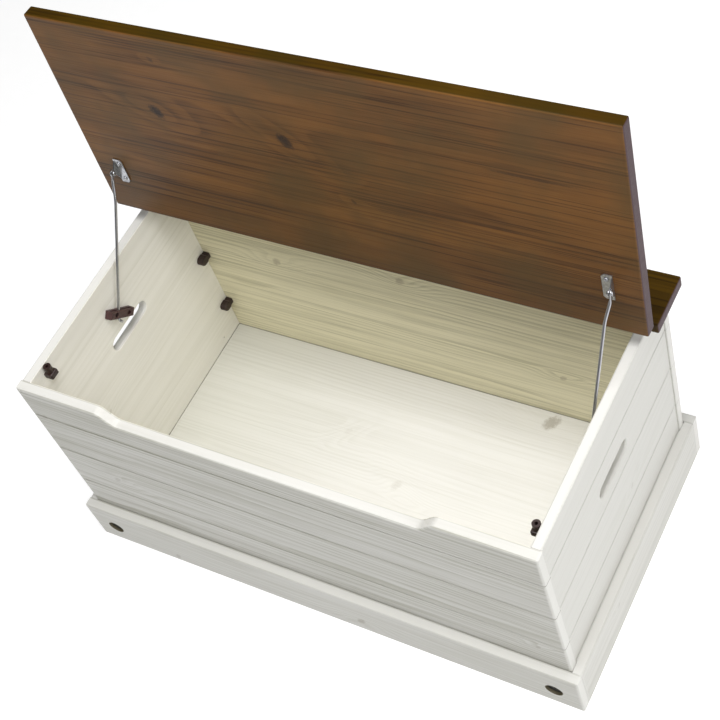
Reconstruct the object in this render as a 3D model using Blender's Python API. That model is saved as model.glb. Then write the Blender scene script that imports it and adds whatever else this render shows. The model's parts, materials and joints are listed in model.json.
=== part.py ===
"""Storage bench: white panelled box, brown lid that hinges up at the back, two rod stays.

Metres, +Z up, +X to the bench's right, +Y to its back. The lid stands open at rest.
"""
import math

import bmesh
import bpy
from mathutils import Matrix, Vector

# ---------------------------------------------------------------- driving sizes
GAP = 0.0003                 # air between neighbouring pieces

BODY_WIDTH = 0.865           # across the front panel
BODY_DEPTH = 0.449           # over the front and back panels
BODY_TOP = 0.421             # top edge of the box above the floor
BODY_FOOT = 0.005            # the panels end this far above the floor
END_THICK = 0.017            # front and back panels
SIDE_THICK = 0.016           # side panels
SIDE_INSET = 0.002           # the side panels sit this far inside the front panel's ends
EDGE_ROUND = 0.004           # rounding of the outer edges of the panels
GROOVE_HALF = 0.002          # half width of a V-groove on the panel's face
GROOVE_DEPTH = 0.002
GROOVE_PITCH = 0.0955        # height of one board between grooves
TOP_BOARD = 0.0688           # from the highest groove to the top edge

DIP_DEPTH = 0.0235           # finger dip in the front panel's top edge
DIP_END = 0.1825             # from the end of its flat bottom to the end of the panel
DIP_RAMP = 0.034             # length of each S-curved end

SLOT_LENGTH = 0.096          # hand slot in each side panel
SLOT_HEIGHT = 0.023
SLOT_DROP = 0.123            # its middle below the top edge
SLOT_ROUND = 0.0035          # rounding round the mouth of a hand slot

FLOOR_THICK = 0.009
FLOOR_TOP = 0.039
BATTEN_WIDTH = 0.022

PLINTH_HEIGHT = 0.090
PLINTH_THICK = 0.0165
PLINTH_ROUND = 0.003
BOLT_END = 0.0285            # counterbored holes, in from the ends of the front panel
BOLT_Z = 0.0395
BORE_RADIUS = 0.0138
BORE_DEPTH = 0.0095
BOLT_RADIUS = 0.003
BOLT_HEAD_RADIUS = 0.0128
BOLT_HEAD_HEIGHT = 0.005

LID_SIDE_LIP = 0.017         # the lid stands this far out past each end of the front panel
LID_FRONT_LIP = 0.0187       # and this far out past its face
LID_THICK = 0.020
LID_ROUND = 0.0025
LID_OPEN = math.radians(92.3)

KNUCKLE_RADIUS = 0.004
PIN_RADIUS = 0.0020
RUNNING = 0.00008            # radial play of a pin or rivet in its hole
AXIS_RISE = 0.0065           # hinge axis above the closed lid's top face
HINGE_BACK = 0.0759          # hinge axis in from the back face of the box
HINGE_LENGTH = 0.060
HINGE_END = 0.1475           # middle of a hinge in from the end of the front panel
LEAF_THICK = 0.002

PIVOT_U = 0.0929             # stay pivot, measured from the lid's hinge edge
PIVOT_N = 0.0122             # and out of the lid's underside
PLATE_AIR = 0.0056           # stay bracket to the inside of the side wall
PLATE_WIDTH = 0.0159         # stay bracket across the lid
PLATE_U = (0.0657, 0.1137)   # stay bracket along the lid
PLATE_THICK = 0.0016
EAR_RADIUS = 0.006
EYE_RADIUS = 0.0055
EYE_THICK = 0.0022
RIVET_RADIUS = 0.0020
RIVET_HEAD_RADIUS = 0.0040
RIVET_HEAD_HEIGHT = 0.0017

ROD_RADIUS = 0.00225
ROD_IN = 0.0085              # middle of the rod to the inside of the side wall
ROD_ANGLE = math.radians(32.8)   # from the vertical, leaning to the front going down
ROD_LENGTH = 0.2455          # pivot to hook
HOOK_LENGTH = 0.0075

GUIDE_AHEAD = 0.1572         # middle of the guide block ahead of the hinge axis
GUIDE_BELOW = 0.10205        # and below it
GUIDE_TILT = math.radians(-43.5)
GUIDE_SLOT = 0.0549          # length of the slot the rod runs in
GUIDE_SHIFT = -0.0006        # the slot's middle along the block
GUIDE_WALL = 0.0014
GUIDE_HEIGHT = 0.014
GUIDE_CHEEK = 0.002
GUIDE_SCREWS = 0.0155        # screws either side of the middle

SCREW_RADIUS = 0.0016
SCREW_HEAD_RADIUS = 0.0036
SCREW_HEAD_HEIGHT = 0.0021
SCREW_BITE = 0.010           # how far a screw goes into the wood
PLATE_SCREW_IN = 0.0145      # bracket screws to the inside of the side wall
PLATE_SCREW_U = (0.0742, 0.1052)

NUT_Z = (0.112, 0.240)       # heights of the corner connectors
NUT_LENGTH = 0.0240
NUT_HALF = 0.0077
NUT_NECK = 0.0058
NUT_NECK_LENGTH = 0.007
NUT_THICK = 0.012
NUT_BOLT_RADIUS = 0.0027
NUT_BOLT_IN_PANEL = 0.010
NUT_BOLT_IN_NUT = 0.014

POST_END = 0.052             # top-fixing blocks, in from the outer face of the end panels
POST_RADIUS = 0.0066
POST_HOLE = 0.0025
POST_TOP_DROP = 0.0015       # their tops sit this far below the box's top edge
POST_HEIGHT = 0.022
POST_BASE = (0.0165, 0.0145, 0.009)
STRIP_SCREW_RADIUS = 0.0020
STRIP_SCREW_BITE = 0.013

PILOT_AHEAD = 0.047          # small hole left in each side wall, ahead of the back panel
PILOT_Z = 0.055
PILOT_RADIUS = 0.0017
PILOT_DEPTH = 0.008

# ---------------------------------------------------------------- sizes that follow
HALF_W = BODY_WIDTH / 2
HALF_D = BODY_DEPTH / 2
SIDE_OUT = HALF_W - SIDE_INSET
SIDE_IN = SIDE_OUT - SIDE_THICK
END_IN = HALF_D - END_THICK
GROOVES = [BODY_TOP - TOP_BOARD - i * GROOVE_PITCH for i in range(3)]
DIP_HALF = HALF_W - DIP_END
SLOT_Z = BODY_TOP - SLOT_DROP
BOLT_X = HALF_W - BOLT_END
PLINTH_IN = HALF_D + GAP
PLINTH_OUT = PLINTH_IN + PLINTH_THICK
PLINTH_SIDE_IN = SIDE_OUT + GAP
PLINTH_SIDE_OUT = PLINTH_SIDE_IN + PLINTH_THICK
SEAT = BODY_TOP + GAP
LID_TOP = SEAT + LID_THICK
LID_WIDTH = BODY_WIDTH + 2 * LID_SIDE_LIP
HINGE_X = HALF_W - HINGE_END
HINGE_Y = HALF_D - HINGE_BACK
HINGE_Z = LID_TOP + AXIS_RISE
LID_REAR = HINGE_Y - KNUCKLE_RADIUS - GAP
LID_FRONT = -HALF_D - LID_FRONT_LIP
STRIP_FRONT = HINGE_Y + KNUCKLE_RADIUS + GAP
STRIP_REAR = PLINTH_OUT
BATTEN_TOP = FLOOR_TOP - FLOOR_THICK - GAP
WALL_X = SIDE_IN - GAP
PIVOT_Y = LID_REAR - PIVOT_U
PIVOT_Z = SEAT - PIVOT_N
PLATE_OUT = SIDE_IN - PLATE_AIR
PLATE_IN = PLATE_OUT - PLATE_WIDTH
PLATE_SCREW_X = SIDE_IN - PLATE_SCREW_IN
EYE_IN = PLATE_OUT + GAP
EYE_MID = EYE_IN + EYE_THICK / 2
ROD_AIR = 0.0003
ROD_X = SIDE_IN - ROD_IN
SLOT_IN = ROD_X - ROD_RADIUS - ROD_AIR
SLOT_OUT = ROD_X + ROD_RADIUS + ROD_AIR
GUIDE_IN = SLOT_IN - GUIDE_CHEEK
GUIDE_Y = HINGE_Y - GUIDE_AHEAD
GUIDE_Z = HINGE_Z - GUIDE_BELOW
SCREW_AIR = 0.0003
POST_X = WALL_X - POST_RADIUS
POST_Y = HALF_D - POST_END
POST_TOP = BODY_TOP - POST_TOP_DROP
POST_BOTTOM = POST_TOP - POST_HEIGHT
NUT_X = WALL_X - NUT_THICK / 2
PILOT_Y = END_IN - PILOT_AHEAD
SIDES = (("left", -1.0), ("right", 1.0))

# ---------------------------------------------------------------- scene and helpers
for old in list(bpy.data.objects):
    bpy.data.objects.remove(old, do_unlink=True)

BENCH = bpy.data.collections.new("storage_bench")
CUTTERS = bpy.data.collections.new("cutters")
bpy.context.scene.collection.children.link(BENCH)
bpy.context.scene.collection.children.link(CUTTERS)
CUTTERS.hide_render = True


def material(name, colour, roughness, metallic=0.0):
    """A Principled material in one colour."""
    mat = bpy.data.materials.new(name)
    mat.use_nodes = True
    shader = mat.node_tree.nodes["Principled BSDF"]
    shader.inputs["Base Color"].default_value = (*colour, 1.0)
    shader.inputs["Roughness"].default_value = roughness
    shader.inputs["Metallic"].default_value = metallic
    mat.diffuse_color = (*colour, 1.0)
    return mat


WHITE = material("white_wood", (0.83, 0.83, 0.80), 0.45)
BROWN = material("brown_wood", (0.11, 0.055, 0.022), 0.40)
STEEL = material("zinc_steel", (0.50, 0.51, 0.53), 0.30, 1.0)
PLASTIC = material("brown_plastic", (0.045, 0.022, 0.018), 0.45)
DARK = material("dark_steel", (0.09, 0.09, 0.085), 0.45, 1.0)


def along(axis, a, b, c):
    """Point with coordinate c on the named axis; a and b on the other two in order."""
    if axis == "X":
        return (c, a, b)
    if axis == "Y":
        return (a, c, b)
    return (a, b, c)


def stack(bm, rings):
    """Closed solid through rings of equal length, capped at both ends."""
    rows = [[bm.verts.new(p) for p in ring] for ring in rings]
    count = len(rows[0])
    bm.faces.new(rows[0])
    bm.faces.new(rows[-1])
    for low, high in zip(rows, rows[1:]):
        for i in range(count):
            j = (i + 1) % count
            bm.faces.new((low[i], low[j], high[j], high[i]))


def prism(bm, outline, axis, start, end):
    """Straight solid on an outline."""
    stack(bm, [[along(axis, a, b, c) for a, b in outline] for c in (start, end)])


def block(bm, low, high):
    """Box between two corners."""
    outline = [(low[0], low[1]), (high[0], low[1]), (high[0], high[1]), (low[0], high[1])]
    prism(bm, outline, "Z", low[2], high[2])


def circle(ca, cb, radius, count):
    """Points round a circle."""
    turn = 2 * math.pi / count
    return [(ca + radius * math.cos(turn * (i + 0.5)), cb + radius * math.sin(turn * (i + 0.5)))
            for i in range(count)]


def turned(bm, ca, cb, axis, profile, count=20):
    """Solid of circles: profile holds (position on the axis, radius) pairs."""
    stack(bm, [[along(axis, a, b, c) for a, b in circle(ca, cb, radius, count)]
               for c, radius in profile])


def capsule(ca, cb, length, height, count=9):
    """Outline of a slot with round ends, long in its first coordinate."""
    radius = height / 2
    reach = length / 2 - radius
    points = []
    for middle, first in ((reach, -0.5), (-reach, 0.5)):
        for i in range(count):
            turn = math.pi * (first + i / (count - 1))
            points.append((ca + middle + radius * math.cos(turn), cb + radius * math.sin(turn)))
    return points


def soften(bm, test, radius, segments=3):
    """Round the edges whose two ends and middle pass the test."""
    bmesh.ops.recalc_face_normals(bm, faces=bm.faces)
    chosen = [e for e in bm.edges if test(e.verts[0].co, e.verts[1].co)]
    bmesh.ops.bevel(bm, geom=chosen, offset=radius, offset_type="OFFSET", segments=segments,
                    profile=0.5, affect="EDGES", clamp_overlap=True)


def near(a, b):
    """True for two equal coordinates."""
    return abs(a - b) < 1e-6


def finish_mesh(name, bm):
    """Mesh from a bmesh, faces outward, smooth where it bends gently."""
    bmesh.ops.recalc_face_normals(bm, faces=bm.faces)
    for face in bm.faces:
        face.smooth = True
    for edge in bm.edges:
        edge.smooth = edge.calc_face_angle(0.0) < math.radians(32)
    mesh = bpy.data.meshes.new(name)
    bm.to_mesh(mesh)
    bm.free()
    return mesh


def piece(name, bm, mat, parent=None, location=(0.0, 0.0, 0.0)):
    """Named object of the bench."""
    mesh = finish_mesh(name, bm)
    mesh.materials.append(mat)
    obj = bpy.data.objects.new(name, mesh)
    obj.location = location
    obj.parent = parent
    BENCH.objects.link(obj)
    return obj


def shape(obj, bm, operation="DIFFERENCE"):
    """Cut a bmesh from an object, or join it on, with an exact Boolean."""
    number = len(obj.modifiers) + 1
    tool = bpy.data.objects.new("%s_tool_%d" % (obj.name, number),
                                finish_mesh(obj.name + "_tool", bm))
    tool.location = obj.location
    tool.parent = obj.parent
    tool.display_type = "WIRE"
    tool.hide_render = True
    CUTTERS.objects.link(tool)
    step = obj.modifiers.new("step_%d" % number, "BOOLEAN")
    step.operation = operation
    step.solver = "EXACT"
    step.object = tool


def groove(bm, axis, face, height, start, end):
    """V-groove cutter on the face at the signed position face, along X or Y."""
    out = math.copysign(1.0, face)
    lift = 0.001
    wide = GROOVE_HALF * (1 + lift / GROOVE_DEPTH)
    outline = [(face + out * lift, height - wide), (face + out * lift, height + wide),
               (face - out * GROOVE_DEPTH, height)]
    prism(bm, outline, axis, start, end)


# ---------------------------------------------------------------- front and back panels
def end_panel(name, way, dip):
    """Front (way -1) or back (way 1) panel, with or without the finger dip."""
    outline = [(HALF_W, BODY_FOOT), (HALF_W, BODY_TOP)]
    if dip:
        steps = 12
        ramp = []
        for i in range(steps + 1):
            t = i / steps
            drop = DIP_DEPTH * t * t * (3 - 2 * t)
            ramp.append((DIP_HALF + DIP_RAMP * (1 - t), BODY_TOP - drop))
        outline += ramp + [(-x, z) for x, z in reversed(ramp)]
    outline += [(-HALF_W, BODY_TOP), (-HALF_W, BODY_FOOT)]
    bm = bmesh.new()
    prism(bm, outline, "Y", way * END_IN, way * HALF_D)

    def outer(a, b):
        return near(a.y, way * HALF_D) and near(b.y, way * HALF_D) and not (
            near(a.z, BODY_FOOT) and near(b.z, BODY_FOOT))

    soften(bm, outer, EDGE_ROUND)
    panel = piece(name, bm, WHITE)
    bm = bmesh.new()
    for height in GROOVES:
        groove(bm, "X", way * HALF_D, height, -HALF_W - 0.001, HALF_W + 0.001)
    for _, side in SIDES:
        for height in NUT_Z:
            turned(bm, side * NUT_X, height, "Y",
                   ((way * (END_IN - 0.001), NUT_BOLT_RADIUS + SCREW_AIR),
                    (way * (END_IN + NUT_BOLT_IN_PANEL + SCREW_AIR),
                     NUT_BOLT_RADIUS + SCREW_AIR)), 12)
        if dip:
            turned(bm, side * BOLT_X, BOLT_Z, "Y",
                   ((way * (END_IN - 0.001), BOLT_RADIUS + SCREW_AIR),
                    (way * (HALF_D + 0.001), BOLT_RADIUS + SCREW_AIR)), 16)
    shape(panel, bm)
    return panel


end_panel("front_panel", -1.0, True)
end_panel("back_panel", 1.0, False)

# ---------------------------------------------------------------- guide block positions
GUIDE_L = Vector((math.cos(GUIDE_TILT), math.sin(GUIDE_TILT)))
GUIDE_H = Vector((-GUIDE_L.y, GUIDE_L.x))


def on_guide(length, height):
    """(y, z) of a point given along and across the guide block."""
    spot = Vector((GUIDE_Y, GUIDE_Z)) + GUIDE_L * length + GUIDE_H * height
    return (spot.x, spot.y)


GUIDE_SPOTS = [on_guide(-GUIDE_SCREWS, 0.0), on_guide(GUIDE_SCREWS, 0.0)]


# ---------------------------------------------------------------- side panels
def side_panel(name, side):
    """Side wall with its hand slot, grooves and screw holes."""
    reach = END_IN - GAP
    bm = bmesh.new()
    block(bm, (min(side * SIDE_IN, side * SIDE_OUT), -reach, BODY_FOOT),
          (max(side * SIDE_IN, side * SIDE_OUT), reach, BODY_TOP))

    def rim(a, b):
        return near(a.z, BODY_TOP) and near(b.z, BODY_TOP) and near(a.x, b.x)

    soften(bm, rim, EDGE_ROUND / 2)
    panel = piece(name, bm, WHITE)
    bm = bmesh.new()
    for height in GROOVES:
        groove(bm, "Y", side * SIDE_OUT, height, -reach - 0.001, reach + 0.001)
    for y, z in GUIDE_SPOTS:
        turned(bm, y, z, "X",
               ((side * (SIDE_IN - 0.001), SCREW_RADIUS + SCREW_AIR),
                (side * (SIDE_IN + SCREW_BITE + 0.001), SCREW_RADIUS + SCREW_AIR)), 12)
    turned(bm, PILOT_Y, PILOT_Z, "X",
           ((side * (SIDE_IN - 0.001), PILOT_RADIUS),
            (side * (SIDE_IN + PILOT_DEPTH), PILOT_RADIUS)), 12)
    shape(panel, bm)
    bm = bmesh.new()
    rings = []
    for depth, grow in ((-0.001, 1.0), (0.0, 1.0), (0.134, 0.5), (0.5, 0.134), (1.0, 0.0)):
        lift = depth if depth < 0 else depth * SLOT_ROUND
        rings.append((SIDE_OUT - lift, grow * SLOT_ROUND))
    rings += [(SIDE_IN + SIDE_OUT - x, grow) for x, grow in reversed(rings)]
    stack(bm, [[(side * x, y, z) for y, z in capsule(0.0, SLOT_Z, SLOT_LENGTH + 2 * grow,
                                                     SLOT_HEIGHT + 2 * grow)]
               for x, grow in rings])
    shape(panel, bm)
    return panel


for word, side in SIDES:
    side_panel(word + "_side_panel", side)

# ---------------------------------------------------------------- floor
bm = bmesh.new()
block(bm, (-SIDE_IN + GAP, -END_IN + GAP, FLOOR_TOP - FLOOR_THICK),
      (SIDE_IN - GAP, END_IN - GAP, FLOOR_TOP))
piece("bottom_panel", bm, WHITE)
for word, side in SIDES:
    bm = bmesh.new()
    inner = side * (SIDE_IN - GAP - BATTEN_WIDTH)
    outer = side * (SIDE_IN - GAP)
    block(bm, (min(inner, outer), -END_IN + GAP, BODY_FOOT),
          (max(inner, outer), END_IN - GAP, BATTEN_TOP))
    piece(word + "_floor_batten", bm, WHITE)

# ---------------------------------------------------------------- plinth
for word, way in (("front", -1.0), ("back", 1.0)):
    bm = bmesh.new()
    near_y = min(way * PLINTH_IN, way * PLINTH_OUT)
    far_y = max(way * PLINTH_IN, way * PLINTH_OUT)
    block(bm, (-PLINTH_SIDE_OUT, near_y, 0.0), (PLINTH_SIDE_OUT, far_y, PLINTH_HEIGHT))

    def outer_edge(a, b, way=way):
        return near(a.y, way * PLINTH_OUT) and near(b.y, way * PLINTH_OUT) and not (
            near(a.z, 0.0) and near(b.z, 0.0))

    soften(bm, outer_edge, PLINTH_ROUND)
    board = piece("plinth_" + word, bm, WHITE)
    if word == "front":
        bm = bmesh.new()
        for _, side in SIDES:
            turned(bm, side * BOLT_X, BOLT_Z, "Y",
                   ((-PLINTH_OUT - 0.001, BORE_RADIUS), (-PLINTH_OUT + BORE_DEPTH, BORE_RADIUS),
                    (-PLINTH_OUT + BORE_DEPTH, BOLT_RADIUS + SCREW_AIR),
                    (-PLINTH_IN + 0.001, BOLT_RADIUS + SCREW_AIR)), 32)
        shape(board, bm)

for word, side in SIDES:
    reach = PLINTH_IN - GAP
    notch = END_IN - GAP
    step = HALF_W + GAP
    outline = [(PLINTH_SIDE_OUT, -reach), (PLINTH_SIDE_OUT, reach), (step, reach),
               (step, notch), (PLINTH_SIDE_IN, notch), (PLINTH_SIDE_IN, -notch),
               (step, -notch), (step, -reach)]
    bm = bmesh.new()
    prism(bm, [(side * x, y) for x, y in outline], "Z", 0.0, PLINTH_HEIGHT)

    def top_edge(a, b, side=side):
        return (near(a.x, side * PLINTH_SIDE_OUT) and near(b.x, side * PLINTH_SIDE_OUT)
                and near(a.z, PLINTH_HEIGHT) and near(b.z, PLINTH_HEIGHT))

    soften(bm, top_edge, PLINTH_ROUND)
    piece("plinth_" + word, bm, WHITE)

for word, side in SIDES:
    bm = bmesh.new()
    seat = -PLINTH_OUT + BORE_DEPTH - GAP
    turned(bm, side * BOLT_X, BOLT_Z, "Y",
           ((seat - BOLT_HEAD_HEIGHT, BOLT_HEAD_RADIUS - 0.001),
            (seat - BOLT_HEAD_HEIGHT + 0.001, BOLT_HEAD_RADIUS), (seat, BOLT_HEAD_RADIUS),
            (seat, BOLT_RADIUS), (-END_IN - 0.002, BOLT_RADIUS)), 24)
    bolt = piece("plinth_bolt_" + word, bm, DARK)
    bm = bmesh.new()
    turned(bm, side * BOLT_X, BOLT_Z, "Y",
           ((seat - BOLT_HEAD_HEIGHT - 0.001, 0.0026), (seat - 0.0015, 0.0026)), 6)
    shape(bolt, bm)

# ---------------------------------------------------------------- rear top strip
bm = bmesh.new()
block(bm, (-LID_WIDTH / 2, STRIP_FRONT, SEAT), (LID_WIDTH / 2, STRIP_REAR, LID_TOP))
soften(bm, lambda a, b: True, LID_ROUND)
strip = piece("rear_top_strip", bm, BROWN)
bm = bmesh.new()
for _, side in SIDES:
    turned(bm, side * POST_X, POST_Y, "Z",
           ((SEAT - 0.001, STRIP_SCREW_RADIUS + SCREW_AIR),
            (SEAT + STRIP_SCREW_BITE + 0.001, STRIP_SCREW_RADIUS + SCREW_AIR)), 12)
shape(strip, bm)

# ---------------------------------------------------------------- lid, turned on its axis
LID_AXIS = bpy.data.objects.new("lid_axis", None)
LID_AXIS.location = (0.0, HINGE_Y, HINGE_Z)
LID_AXIS.rotation_euler = (-LID_OPEN, 0.0, 0.0)
BENCH.objects.link(LID_AXIS)


def flat(bm):
    """Move a solid drawn on the closed lid into the lid axis's own frame."""
    bmesh.ops.translate(bm, verts=bm.verts, vec=(0.0, -HINGE_Y, -HINGE_Z))
    return bm


bm = bmesh.new()
block(bm, (-LID_WIDTH / 2, LID_FRONT, SEAT), (LID_WIDTH / 2, LID_REAR, LID_TOP))
soften(bm, lambda a, b: True, LID_ROUND)
lid = piece("lid_panel", flat(bm), BROWN, LID_AXIS)
bm = bmesh.new()
for _, side in SIDES:
    for u in PLATE_SCREW_U:
        turned(bm, side * PLATE_SCREW_X, LID_REAR - u, "Z",
               ((SEAT - 0.001, SCREW_RADIUS + SCREW_AIR),
                (SEAT + SCREW_BITE + 0.001, SCREW_RADIUS + SCREW_AIR)), 12)
shape(lid, flat(bm))


# ---------------------------------------------------------------- hinges
def leaf_outline(way):
    """Knuckle with a leaf hanging from it, on the strip's (way 1) or lid's (way -1) edge."""
    radius = KNUCKLE_RADIUS
    foot = SEAT + 0.003
    count = 20
    turn = 2 * math.pi / count
    points = []
    for i in range(count + 1):
        angle = turn * i
        y = HINGE_Y + way * radius * math.cos(angle)
        z = HINGE_Z + radius * math.sin(angle)
        inside = way * (y - HINGE_Y) > radius - LEAF_THICK and z < HINGE_Z - 1e-6
        if not inside:
            points.append((y, z))
    # the arc runs from the leaf's back over the top and round to the leaf's free face
    last = [p for p in points if not (near(p[0], HINGE_Y + way * radius) and near(p[1], HINGE_Z))]
    first = (HINGE_Y + way * radius, HINGE_Z)
    drop = math.sqrt(radius ** 2 - (radius - LEAF_THICK) ** 2)
    corner = (HINGE_Y + way * (radius - LEAF_THICK), HINGE_Z - drop)
    return [first] + last + [corner, (HINGE_Y + way * (radius - LEAF_THICK), foot),
                             (HINGE_Y + way * radius, foot)]


def hinge_leaf(name, middle, way, parent):
    """One leaf with its share of the knuckle."""
    half = HINGE_LENGTH / 2
    third = HINGE_LENGTH / 6
    moved = flat if parent else (lambda solid: solid)
    bm = bmesh.new()
    prism(bm, leaf_outline(way), "X", middle - half, middle + half)
    leaf = piece(name, moved(bm), STEEL, parent)
    reach = KNUCKLE_RADIUS + 0.0005
    bm = bmesh.new()
    if parent:
        spans = ((-half - 0.001, -third + GAP / 2), (third - GAP / 2, half + 0.001))
    else:
        spans = ((-third - GAP / 2, third + GAP / 2),)
    for start, end in spans:
        block(bm, (middle + start, HINGE_Y - 2 * reach, HINGE_Z - reach),
              (middle + end, HINGE_Y + 2 * reach, HINGE_Z + 2 * reach))
    shape(leaf, moved(bm))
    bm = bmesh.new()
    turned(bm, HINGE_Y, HINGE_Z, "X", ((middle - half - 0.001, PIN_RADIUS + RUNNING),
                                       (middle + half + 0.001, PIN_RADIUS + RUNNING)), 16)
    shape(leaf, moved(bm))
    return leaf


for word, side in SIDES:
    middle = side * HINGE_X
    hinge_leaf("%s_hinge_fixed_leaf" % word, middle, 1.0, None)
    hinge_leaf("%s_hinge_lid_leaf" % word, middle, -1.0, LID_AXIS)
    bm = bmesh.new()
    end = HINGE_LENGTH / 2 + GAP
    turned(bm, HINGE_Y, HINGE_Z, "X",
           ((middle - end - 0.0012, PIN_RADIUS * 1.3), (middle - end, PIN_RADIUS * 1.6),
            (middle - end, PIN_RADIUS), (middle + end, PIN_RADIUS),
            (middle + end, PIN_RADIUS * 1.6), (middle + end + 0.0012, PIN_RADIUS * 1.3)), 16)
    piece("%s_hinge_pin" % word, bm, STEEL)


# ---------------------------------------------------------------- lid stays
def ear_outline():
    """(y, z) outline of the bracket's ear on the closed lid, round the pivot at its tip."""
    root = SEAT - GAP
    wide = 0.020
    points = [(PIVOT_Y + wide, root), (PIVOT_Y + wide, root - PLATE_THICK)]
    steps = 10
    lean = math.radians(28)
    for i in range(steps + 1):
        turn = lean - (math.pi + 2 * lean) * i / steps
        points.append((PIVOT_Y + EAR_RADIUS * math.cos(turn),
                       PIVOT_Z + EAR_RADIUS * math.sin(turn)))
    points += [(PIVOT_Y - wide * 0.85, root - PLATE_THICK), (PIVOT_Y - wide * 0.85, root)]
    return points


for word, side in SIDES:
    # plate with its ear, one pressed piece
    low_u, high_u = PLATE_U
    clip = 0.004
    inner, outer = PLATE_IN, PLATE_OUT
    bm = bmesh.new()
    outline = [(outer, LID_REAR - low_u), (inner + clip, LID_REAR - low_u),
               (inner, LID_REAR - low_u - clip), (inner, LID_REAR - high_u + clip),
               (inner + clip, LID_REAR - high_u), (outer, LID_REAR - high_u)]
    prism(bm, [(side * x, y) for x, y in outline], "Z", SEAT - GAP - PLATE_THICK, SEAT - GAP)
    bracket = piece("%s_lid_bracket" % word, flat(bm), STEEL, LID_AXIS)
    bm = bmesh.new()
    prism(bm, ear_outline(), "X", side * (outer - PLATE_THICK), side * outer)
    shape(bracket, flat(bm), "UNION")
    bm = bmesh.new()
    turned(bm, PIVOT_Y, PIVOT_Z, "X",
           ((side * (outer - PLATE_THICK - 0.001), RIVET_RADIUS + RUNNING),
            (side * (outer + 0.001), RIVET_RADIUS + RUNNING)), 16)
    for u in PLATE_SCREW_U:
        turned(bm, side * PLATE_SCREW_X, LID_REAR - u, "Z",
               ((SEAT - GAP - PLATE_THICK - 0.001, SCREW_RADIUS + SCREW_AIR),
                (SEAT + 0.001, SCREW_RADIUS + SCREW_AIR)), 12)
    shape(bracket, flat(bm))

    # rivet that joins the rod's eye to the ear
    tail = outer - PLATE_THICK - GAP
    tip = EYE_IN + EYE_THICK + GAP
    bm = bmesh.new()
    turned(bm, PIVOT_Y, PIVOT_Z, "X",
           [(side * x, radius) for x, radius in
            ((tail - RIVET_HEAD_HEIGHT, RIVET_HEAD_RADIUS * 0.6), (tail - 0.0006, RIVET_HEAD_RADIUS),
             (tail, RIVET_HEAD_RADIUS), (tail, RIVET_RADIUS), (tip, RIVET_RADIUS),
             (tip, RIVET_HEAD_RADIUS), (tip + 0.0006, RIVET_HEAD_RADIUS),
             (tip + RIVET_HEAD_HEIGHT, RIVET_HEAD_RADIUS * 0.6))], 20)
    piece("%s_stay_rivet" % word, flat(bm), STEEL, LID_AXIS)

    for number, u in enumerate(PLATE_SCREW_U, 1):
        seat = SEAT - GAP - PLATE_THICK - GAP
        bm = bmesh.new()
        turned(bm, side * PLATE_SCREW_X, LID_REAR - u, "Z",
               ((seat - SCREW_HEAD_HEIGHT, SCREW_HEAD_RADIUS * 0.6),
                (seat - SCREW_HEAD_HEIGHT * 0.45, SCREW_HEAD_RADIUS), (seat, SCREW_HEAD_RADIUS),
                (seat, SCREW_RADIUS), (SEAT + SCREW_BITE, SCREW_RADIUS)), 16)
        piece("%s_bracket_screw_%d" % (word, number), flat(bm), STEEL, LID_AXIS)

    # rod: flat eye on the pivot, a round rod that steps inward, and a hook past the guide
    spin = Matrix.Rotation(-LID_OPEN, 4, "X")
    swing = spin @ Vector((0.0, PIVOT_Y - HINGE_Y, PIVOT_Z - HINGE_Z))
    pivot = Vector((0.0, HINGE_Y, HINGE_Z)) + swing
    down = Vector((0.0, -math.sin(ROD_ANGLE), -math.cos(ROD_ANGLE)))
    start = 0.0092
    path = [(EYE_MID, start), (EYE_MID, start + 0.003), (EYE_MID - 0.0004, start + 0.008)]
    path += [(ROD_X + 0.0004, start + 0.023), (ROD_X, start + 0.028)]
    turn = ROD_RADIUS * 1.3
    path += [(ROD_X, ROD_LENGTH - turn), (ROD_X - turn * 0.3, ROD_LENGTH - turn * 0.3),
             (ROD_X - turn, ROD_LENGTH), (ROD_X - HOOK_LENGTH, ROD_LENGTH)]
    curve = bpy.data.curves.new(word + "_rod", "CURVE")
    curve.dimensions = "3D"
    curve.bevel_depth = ROD_RADIUS
    curve.bevel_resolution = 2
    curve.use_fill_caps = True
    spline = curve.splines.new("POLY")
    spline.points.add(len(path) - 1)
    for point, (x, s) in zip(spline.points, path):
        spot = down * s
        point.co = (side * x, spot.y, spot.z, 1.0)
    wire = bpy.data.objects.new(word + "_rod", curve)
    BENCH.objects.link(wire)
    rod_mesh = bpy.data.meshes.new_from_object(wire)
    bpy.data.objects.remove(wire)
    bm = bmesh.new()
    bm.from_mesh(rod_mesh)
    bmesh.ops.remove_doubles(bm, verts=bm.verts, dist=0.00001)
    rod = piece("%s_stay_rod" % word, bm, STEEL, None, pivot)
    bm = bmesh.new()
    across = Vector((0.0, -down.z, down.y))
    strap = [(down * s + across * w) for s, w in
             ((0.0, -0.0036), (start + 0.0006, -0.0025), (start + 0.0018, -0.0016),
              (start + 0.0018, 0.0016), (start + 0.0006, 0.0025), (0.0, 0.0036))]
    back = [down * (EYE_RADIUS * math.cos(a)) + across * (EYE_RADIUS * math.sin(a))
            for a in [math.radians(d) for d in range(60, 301, 20)]]
    ring = [(p.y, p.z) for p in strap[1:-1]] + [(p.y, p.z) for p in back]
    prism(bm, ring, "X", side * EYE_IN, side * (EYE_IN + EYE_THICK))
    shape(rod, bm, "UNION")
    bm = bmesh.new()
    turned(bm, 0.0, 0.0, "X", ((side * (EYE_IN - 0.001), RIVET_RADIUS + RUNNING),
                               (side * (EYE_IN + EYE_THICK + 0.001), RIVET_RADIUS + RUNNING)), 16)
    shape(rod, bm)

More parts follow.
